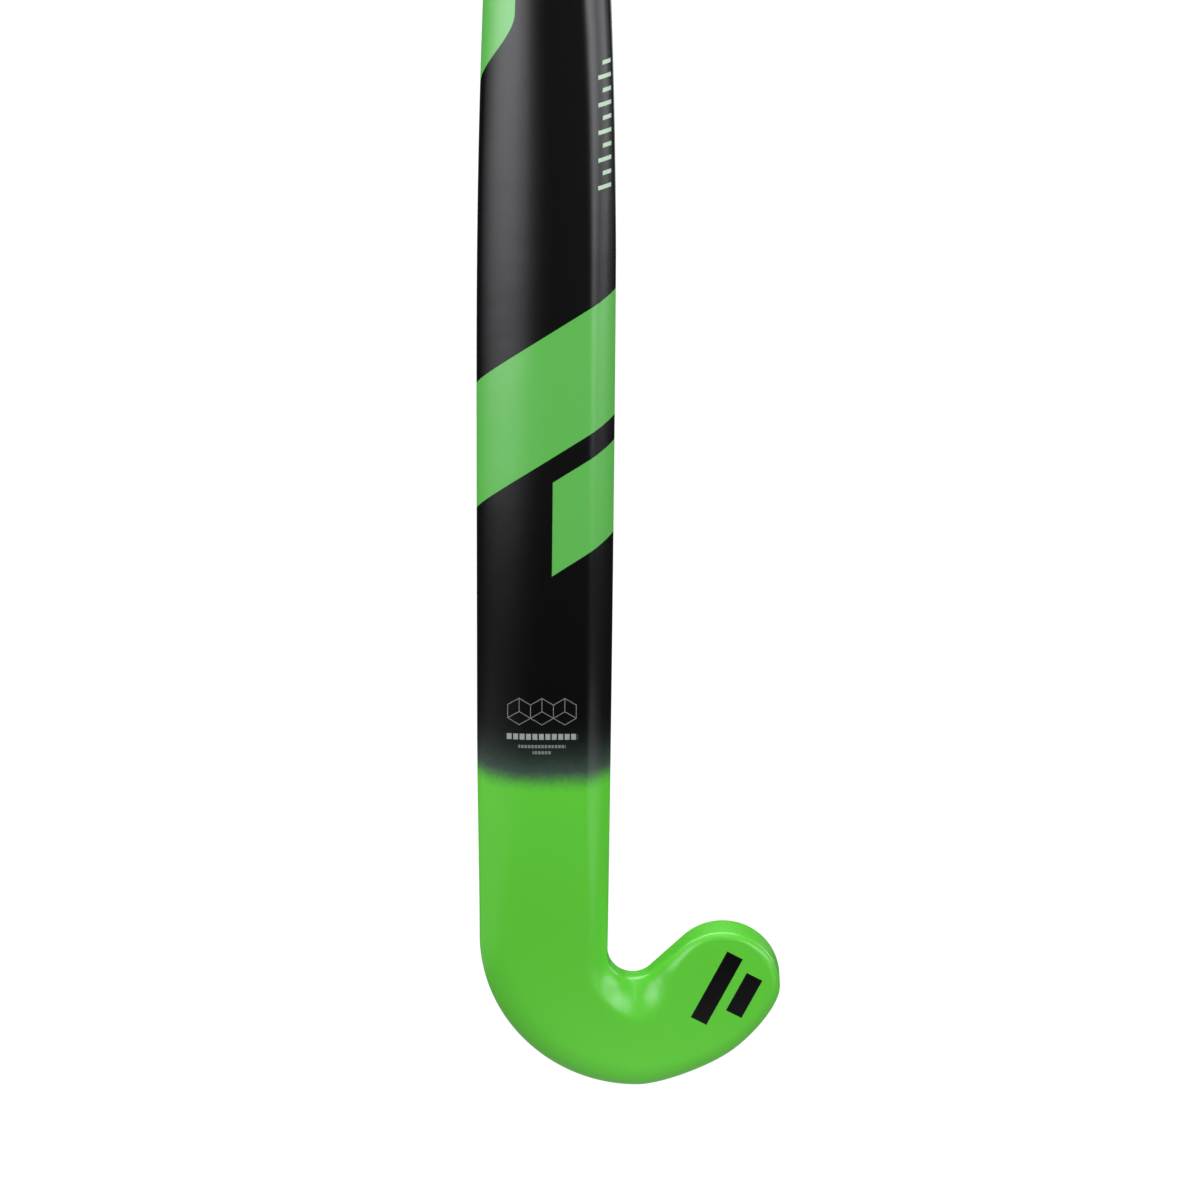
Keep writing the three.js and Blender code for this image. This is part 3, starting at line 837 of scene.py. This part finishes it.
def handle_rings(count):
    """Evenly spaced points round the handle: their (x, h) places at the laminate's surface and
    how those move for each millimetre outwards."""
    def spaced(inset):
        ring = section(HANDLE_PLACE, inset, HANDLE_DETAIL)
        lengths = lengths_along(ring)
        points = []
        i = 0
        for k in range(count):
            goal = lengths[-1] * k / count
            while lengths[i + 1] < goal:
                i += 1
            t = (goal - lengths[i]) / (lengths[i + 1] - lengths[i])
            points.append((mix(ring[i][0], ring[i + 1][0], t), mix(ring[i][2], ring[i + 1][2], t)))
        return points

    apart = 2
    near, far = spaced(0), spaced(-apart)
    return [(a, ((b[0] - a[0]) / apart, (b[1] - a[1]) / apart)) for a, b in zip(near, far)]


def on_handle(ring, k, c, out):
    """A scene point of the handle: ring point k, at c along the stick, `out` off the laminate."""
    (x, h), (dx, dh) = ring[k % len(ring)]
    return place(x + dx * out, c, h + dh * out)


def handle_tube(name, profile, count, closed, lift=None):
    """A piece round the handle from (c, out) profile points, which run down its outside and up
    its inside. `lift` adds to `out` by the place round the handle and along the profile."""
    ring = handle_rings(count)
    bm = bmesh.new()
    rows = []
    for index, (c, out) in enumerate(profile):
        extra = [lift(index, c, k / count) if lift else 0.0 for k in range(count)]
        rows.append([bm.verts.new(on_handle(ring, k, c, out + extra[k])) for k in range(count)])
    pairs = list(zip(rows, rows[1:]))
    if closed:
        pairs.append((rows[-1], rows[0]))
    for upper, lower in pairs:
        for k in range(count):
            n = (k + 1) % count
            face = bm.faces.new((upper[k], lower[k], lower[n], upper[n]))
            face.smooth = True
    if not closed:
        bm.faces.new(rows[0])
        bm.faces.new(rows[-1][::-1])
    bmesh.ops.recalc_face_normals(bm, faces=bm.faces)
    mesh = bpy.data.meshes.new(name)
    bm.to_mesh(mesh)
    bm.free()
    return new_object(name, mesh)


def strip_thickness(w):
    """The strip's thickness at w across it: its edges are skived."""
    from_side = min(w, STRIP["width"] - w)
    return mix(STRIP["edge"], STRIP["middle"], smooth(clamp01(from_side / STRIP["skive"])))


def strip_seat(w):
    """What lies under the strip at w: the turn above it, where the two lap."""
    lap = STRIP["width"] - STRIP["pitch"]
    if w <= lap:
        return strip_thickness(w + STRIP["pitch"])
    return STRIP["edge"] * (1 - smooth(clamp01((w - lap) / STRIP_SEAT["ramp"])))


def trim(bm, c, side):
    """Cuts a mesh off square at c along the stick, above it for side 1 and below it for -1."""
    at = place(0, c, 0)
    up = (place(0, c + 1, 0) - at).normalized()
    cut = bmesh.ops.bisect_plane(
        bm,
        geom=bm.verts[:] + bm.edges[:] + bm.faces[:],
        dist=1e-8,
        plane_co=at,
        plane_no=up * side,
        clear_outer=True,
    )
    edges = [e for e in cut["geom_cut"] if isinstance(e, bmesh.types.BMEdge)]
    bmesh.ops.edgeloop_fill(bm, edges=edges)


def grip_mesh():
    """The wound strip as one closed ribbon, trimmed at the grip's two ends."""
    ring = handle_rings(STRIP_COLUMNS)
    girth = sum(math.dist(ring[k - 1][0], ring[k][0]) for k in range(STRIP_COLUMNS))
    first_top = SHELL_TOP + 1.3 * STRIP["width"]  # the first turn is trimmed off
    turns = (first_top - GRIP_BOTTOM + STRIP["width"] / 2) / STRIP["pitch"]
    across = [STRIP["width"] * m / STRIP_ROWS for m in range(STRIP_ROWS + 1)]
    outside = [(w, strip_seat(w) + strip_thickness(w)) for w in across]
    inside = [(w, strip_seat(w) + STRIP_SEAT["gap"]) for w in reversed(across[::6])]
    profile = outside + inside
    bm = bmesh.new()
    strip_map = bm.loops.layers.uv.new("strip")
    ribbon = []
    for i in range(math.ceil(turns * STRIP_COLUMNS) + 1):
        top = first_top - STRIP["pitch"] * i / STRIP_COLUMNS
        row = [on_handle(ring, i, top - w, GRIP_INSIDE + out) for w, out in profile]
        ribbon.append([bm.verts.new(point) for point in row])
    for i in range(len(ribbon) - 1):
        for m in range(len(profile)):
            n = (m + 1) % len(profile)
            corners = [(i, m), (i, n), (i + 1, n), (i + 1, m)]
            face = bm.faces.new([ribbon[a][b] for a, b in corners])
            face.smooth = True
            for loop, (a, b) in zip(face.loops, corners):
                loop[strip_map].uv = (girth * a / STRIP_COLUMNS * MM, profile[b][0] * MM)
    bm.faces.new(ribbon[0][::-1])
    bm.faces.new(ribbon[-1])
    trim(bm, SHELL_TOP, 1)
    trim(bm, GRIP_BOTTOM, -1)
    bmesh.ops.recalc_face_normals(bm, faces=bm.faces)
    mesh = bpy.data.meshes.new("grip_strip")
    bm.to_mesh(mesh)
    bm.free()
    return mesh


def grip_material():
    """Soft black foam, with staggered rows of small holes: each hole is a bump dent, coloured
    near-black as painted shade inside it.
    """
    g = Graph("grip_foam")
    along, across = g.uv("strip")
    spacing = HOLE["spacing"]
    row = g.math("FLOOR", g.times(across, 1 / spacing))
    up = g.line(1 / spacing, across, -1, row, -0.5)
    stagger = g.math("FRACT", g.times(row, 0.5))
    sideways = g.add(g.math("FRACT", g.line(1 / spacing, along, 1, stagger, 0)), -0.5)
    squared = g.add(g.times(up, up), g.times(sideways, sideways))
    from_middle = g.times(g.math("SQRT", squared), spacing)
    # the hole mask both darkens the colour as painted shade and dents the surface through the bump
    hole_shade_and_dent = g.inside(g.add(from_middle, -HOLE["radius"]), HOLE["softness"])
    rub = g.noise(g.position(), 45, 4)
    foam = g.blend(rub, linear(23, 23, 25), linear(36, 36, 38))
    # the near-black inside the holes is painted shade, not the foam's own colour
    g.feed(g.shader.inputs["Base Color"], g.blend(hole_shade_and_dent, foam, linear(6, 6, 7)))
    g.shader.inputs["Roughness"].default_value = 0.8
    skin = g.noise(g.position(), 1300, 3)
    g.bump(g.line(0.12, skin, -1, hole_shade_and_dent, 0), 0.8, 0.0007)
    return g.material


def tape_profile():
    """The tape's outside, from the grip down to the shaft, then its inside back up."""
    over_grip = GRIP_OUTSIDE + GAP
    outside = []
    for i in range(TAPE_STEPS + 1):
        c = mix(TAPE["top"], TAPE["bottom"], i / TAPE_STEPS)
        rise = smooth(clamp01((c - (HANDLE_START - 1)) / (GRIP_BOTTOM - HANDLE_START)))
        outside.append((c, mix(GAP, over_grip, rise) + TAPE["thickness"] * TAPE_TURN["low"]))
    step = GRIP_BOTTOM - GAP
    return outside + [(TAPE["bottom"], GAP), (step, GAP), (step, over_grip), (TAPE["top"], over_grip)]


def tape_lift(index, c, turn):
    """The laps of the wound tape: a small step, then a slow fall to the next one."""
    if index > TAPE_STEPS:
        return 0.0
    phase = ((c - TAPE["bottom"]) / TAPE["lap"] - turn) % 1.0
    step = smooth(clamp01(phase / TAPE_TURN["step"])) * (1 - TAPE_TURN["fall"] * phase)
    return TAPE["thickness"] * TAPE_TURN["rise"] * step


def cap_profile():
    """The end cap: a disc with a rounded rim, a groove round its top, and the spigot."""
    rim_start = GRIP_OUTSIDE - CAP["rim"]
    groove = [(LENGTH - CAP_GROOVE["depth"] * d, CAP_GROOVE["out"] + a) for a, d in GROOVE_SHAPE]
    top = [(LENGTH, CAP["middle_out"]), *groove, (LENGTH, rim_start - CAP["rim_flat"])]
    rim = []
    for i in range(CAP["rim_steps"] + 1):
        turn = towards(90 * i / CAP["rim_steps"], CAP["rim"])
        rim.append((LENGTH - CAP["rim"] + turn.x, rim_start + turn.y))
    disc_bottom = SHELL_TOP + GAP
    side = [(LENGTH - CAP["rim"] - CAP["below_rim"], GRIP_OUTSIDE)]
    foot = [(disc_bottom + up, GRIP_OUTSIDE - into) for up, into in CAP_FOOT]
    spigot = -(wall_at(SHELL_TOP) + GAP + CAP_SPIGOT["clearance"])
    end = PLUG_TOP + GAP
    chamfer = CAP_SPIGOT["chamfer"]
    under = [(disc_bottom, spigot), (end + chamfer, spigot), (end, spigot - chamfer)]
    return top + rim + side + foot + under


def finish(piece, material, node):
    """Gives a piece its material and its place in the model."""
    piece.data.materials.append(material)
    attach(piece, "root")
    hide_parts(node)


shell = new_object("stick_shell", shell_mesh())
finish(shell, lacquer_material(), "composite_shell")

grip = new_object("grip_strip", grip_mesh())
finish(grip, grip_material(), "cushion_grip")

tape = handle_tube("wound_tape", tape_profile(), HANDLE_COLUMNS, True, tape_lift)
tape_finish = plain_material("binding_tape", linear(98, 204, 73), 0.32, 500, 0.12, 0.15)
finish(tape, tape_finish, "finishing_tape")

cap = handle_tube("moulded_cap", cap_profile(), HANDLE_COLUMNS, False)
cap_finish = plain_material("cap_rubber", linear(34, 34, 36), 0.7, 700, 0.3, 0.35)
finish(cap, cap_finish, "end_cap")

INNER_FINISHES = {
    "centre_rib": plain_material("rib_laminate", linear(34, 34, 36), 0.5, 900, 0.4),
    "heel_side_foam": cell_material("core_foam", linear(218, 208, 176), 0.95, 900, 0.25),
    "head_core": cell_material("head_filler", linear(142, 133, 116), 0.85, 500, 0.35),
    "butt_plug": plain_material("plug_plastic", linear(46, 47, 51), 0.6, 400, 0.2),
    "balance_weight": brushed_material("weight_steel", linear(176, 179, 184), 0.35),
    "grip_underlay": plain_material("underlay_film", linear(228, 224, 214), 0.9, 1200, 0.12),
}
INNER_FINISHES["toe_side_foam"] = INNER_FINISHES["heel_side_foam"]
for node, material in INNER_FINISHES.items():
    obj = bpy.data.objects[node]
    for slot in obj.material_slots:
        slot.material = material

# ---- stage, lights and camera ---------------------------------------------------------------

shaft_x = origin.x * MM

# From here on sizes are in metres. Azimuth 0 is the camera's side and 90 is the toe's side.
SEEN_WHITE = 1.05  # a little over full white, so that the picture's ground is pure white
ROOM_LIGHT = 0.01
COOL_WHITE = (1.0, 1.005, 1.05)
BOX_DISTANCE = 1.5  # the soft boxes stand this far from the stick
BOX_BOTTOM = 0.2
BOX_TOP = 0.9
BOX_STEP = 10  # degrees from one strip of a soft box to the next
LEFT_RADIANCES = [0.3, 2.4, 3.6, 3.6, 3.1, 2.2, 1.2, 0.6, 0.2]  # from the inner strip out
RIGHT_RADIANCES = [0.3, 2.2, 4.4, 3.4, 1.6, 2.8, 3.6, 0.9, 0.6]
REAR_STRIPS = [("rear_right_1", 130, 2.0), ("rear_right_2", 145, 2.0)]  # azimuth, radiance
HIGH_DISTANCE = 2.1
HIGH_AIM = 0.1  # the height that the high lights are turned to
HIGH_LIGHTS = [  # azimuth, elevation, width, length, radiance
    ("top_light", 0, 80, 1.8, 1.6, 0.9),
    ("right_crook_light", 8, 42, 0.25, 1.0, 2.5),
    ("left_crook_light", -24, 40, 0.15, 1.0, 1.0),
    ("left_light", -80, 52, 0.8, 0.8, 4.5),
    ("rear_left_light", -130, 48, 1.2, 1.2, 2.0),
    ("rear_light", 180, 58, 1.4, 1.4, 2.6),
]
BOUNCE_HEIGHT = 0.002
BOUNCE_LIGHTS = [  # azimuth, distance, size, radiance
    ("left_bounce", -75, 0.36, 0.5, 0.25),
    ("right_bounce", 55, 0.34, 0.28, 0.8),
]
FLOOR_GLOW = {"x": 0.01, "y": 0.04, "radius": 0.17, "radiance": 0.5, "far": 0.05}
CAMERA = {"aim_x": 0.0192, "aim_z": 0.1777, "distance": 3.6, "tilt": 6.3, "view_width": 0.432}


def white_world():
    """White to the camera, as a cut-out picture has, and a dim room to everything else."""
    world = bpy.data.worlds.new("studio")
    bpy.context.scene.world = world
    world.use_nodes = True
    nodes, links = world.node_tree.nodes, world.node_tree.links
    nodes.clear()
    seen = nodes.new("ShaderNodeBackground")
    seen.inputs["Color"].default_value = (1, 1, 1, 1)
    seen.inputs["Strength"].default_value = SEEN_WHITE
    room = nodes.new("ShaderNodeBackground")
    room.inputs["Color"].default_value = (0.92, 0.95, 1, 1)
    room.inputs["Strength"].default_value = ROOM_LIGHT
    path = nodes.new("ShaderNodeLightPath")
    either = nodes.new("ShaderNodeMixShader")
    output = nodes.new("ShaderNodeOutputWorld")
    links.new(path.outputs["Is Camera Ray"], either.inputs["Fac"])
    links.new(room.outputs["Background"], either.inputs[1])
    links.new(seen.outputs["Background"], either.inputs[2])
    links.new(either.outputs["Shader"], output.inputs["Surface"])


def floor_material():
    """A pale floor: white to the camera, and glowing softly near the stick, so that it lights
    the head from below as a white table does."""
    material = bpy.data.materials.new("pale_floor")
    material.use_nodes = True
    nodes, links = material.node_tree.nodes, material.node_tree.links
    nodes.clear()
    coordinates = nodes.new("ShaderNodeTexCoord")
    distance = nodes.new("ShaderNodeVectorMath")
    distance.operation = "LENGTH"
    near = nodes.new("ShaderNodeMapRange")
    near.interpolation_type = "SMOOTHSTEP"
    near.inputs["From Min"].default_value = FLOOR_GLOW["radius"]
    near.inputs["From Max"].default_value = 0
    near.inputs["To Min"].default_value = FLOOR_GLOW["far"]
    near.inputs["To Max"].default_value = FLOOR_GLOW["radiance"]
    table = nodes.new("ShaderNodeEmission")
    seen = nodes.new("ShaderNodeEmission")
    seen.inputs["Strength"].default_value = SEEN_WHITE
    path = nodes.new("ShaderNodeLightPath")
    either = nodes.new("ShaderNodeMixShader")
    output = nodes.new("ShaderNodeOutputMaterial")
    links.new(coordinates.outputs["Object"], distance.inputs[0])
    links.new(distance.outputs["Value"], near.inputs["Value"])
    links.new(near.outputs["Result"], table.inputs["Strength"])
    links.new(path.outputs["Is Camera Ray"], either.inputs["Fac"])
    links.new(table.outputs["Emission"], either.inputs[1])
    links.new(seen.outputs["Emission"], either.inputs[2])
    links.new(either.outputs["Shader"], output.inputs["Surface"])
    return material


def make_floor():
    size = 60
    mesh = bpy.data.meshes.new("floor")
    corners = [(-size, -size, 0), (size, -size, 0), (size, size, 0), (-size, size, 0)]
    mesh.from_pydata(corners, [], [(0, 1, 2, 3)])
    floor = new_object("floor", mesh)
    floor.location = (FLOOR_GLOW["x"], FLOOR_GLOW["y"], 0)
    floor.data.materials.append(floor_material())


def area_light(name, location, rotation, width, length, radiance):
    """A soft rectangle of light that the camera doesn't see."""
    light = bpy.data.lights.new(name, "AREA")
    light.shape = "RECTANGLE"
    light.size = width
    light.size_y = length
    light.color = COOL_WHITE
    light.energy = 4 * radiance * width * length
    obj = new_object(name, light)
    obj.location = location
    obj.rotation_euler = rotation
    obj.visible_camera = False


def direction(azimuth, elevation):
    turn, rise = math.radians(azimuth), math.radians(elevation)
    level = math.cos(rise)
    return Vector((math.sin(turn) * level, -math.cos(turn) * level, math.sin(rise)))


def facing(out):
    """The rotation of a light that stands in direction `out` and shines back along it."""
    return out.to_track_quat("Z", "Y").to_euler()


def strip_light(name, azimuth, radiance):
    """One upright strip of a soft box, turned to the stick."""
    width = 2 * BOX_DISTANCE * math.tan(math.radians(BOX_STEP / 2))
    out = direction(azimuth, 0)
    middle = Vector((shaft_x, 0, (BOX_TOP + BOX_BOTTOM) / 2))
    area_light(name, middle + out * BOX_DISTANCE, facing(out), width, BOX_TOP - BOX_BOTTOM, radiance)


def soft_boxes():
    """Two curved soft boxes beside the camera. The left one is bright in the middle and fades
    to its sides, and the right one has a darker bar between two bright ones."""
    for i, (left, right) in enumerate(zip(LEFT_RADIANCES, RIGHT_RADIANCES)):
        azimuth = BOX_STEP * (i + 1.5)
        strip_light(f"left_box_{i + 1}", -azimuth, left)
        strip_light(f"right_box_{i + 1}", azimuth, right)


def high_light(name, azimuth, elevation, width, length, radiance):
    """A soft box above, turned to the stick's lower part, its length towards the stick's top."""
    out = direction(azimuth, elevation)
    aim = Vector((shaft_x, 0, HIGH_AIM))
    area_light(name, aim + out * HIGH_DISTANCE, facing(out), width, length, radiance)


def bounce_light(name, azimuth, distance, size, radiance):
    """A square of light lying on the floor and shining up, as a white table gives."""
    location = Vector((shaft_x, 0, BOUNCE_HEIGHT)) + direction(azimuth, 0) * distance
    area_light(name, location, (math.pi, 0, 0), size, size, radiance)


def make_camera():
    """The camera looks a little down on the stick's lower part."""
    tilt = math.radians(CAMERA["tilt"])
    aim = Vector((shaft_x + CAMERA["aim_x"], 0, CAMERA["aim_z"]))
    data = bpy.data.cameras.new("camera")
    camera = new_object("camera", data)
    camera.location = aim + Vector((0, -math.cos(tilt), math.sin(tilt))) * CAMERA["distance"]
    away = camera.location - aim
    camera.rotation_euler = away.to_track_quat("Z", "Y").to_euler()
    data.sensor_width = 36
    data.lens = data.sensor_width * away.length / CAMERA["view_width"]
    data.clip_end = 200
    bpy.context.scene.camera = camera


bpy.context.scene.view_settings.view_transform = "Standard"
white_world()
make_floor()
soft_boxes()
for strip in REAR_STRIPS:
    strip_light(*strip)
for light in HIGH_LIGHTS:
    high_light(*light)
for light in BOUNCE_LIGHTS:
    bounce_light(*light)
make_camera()
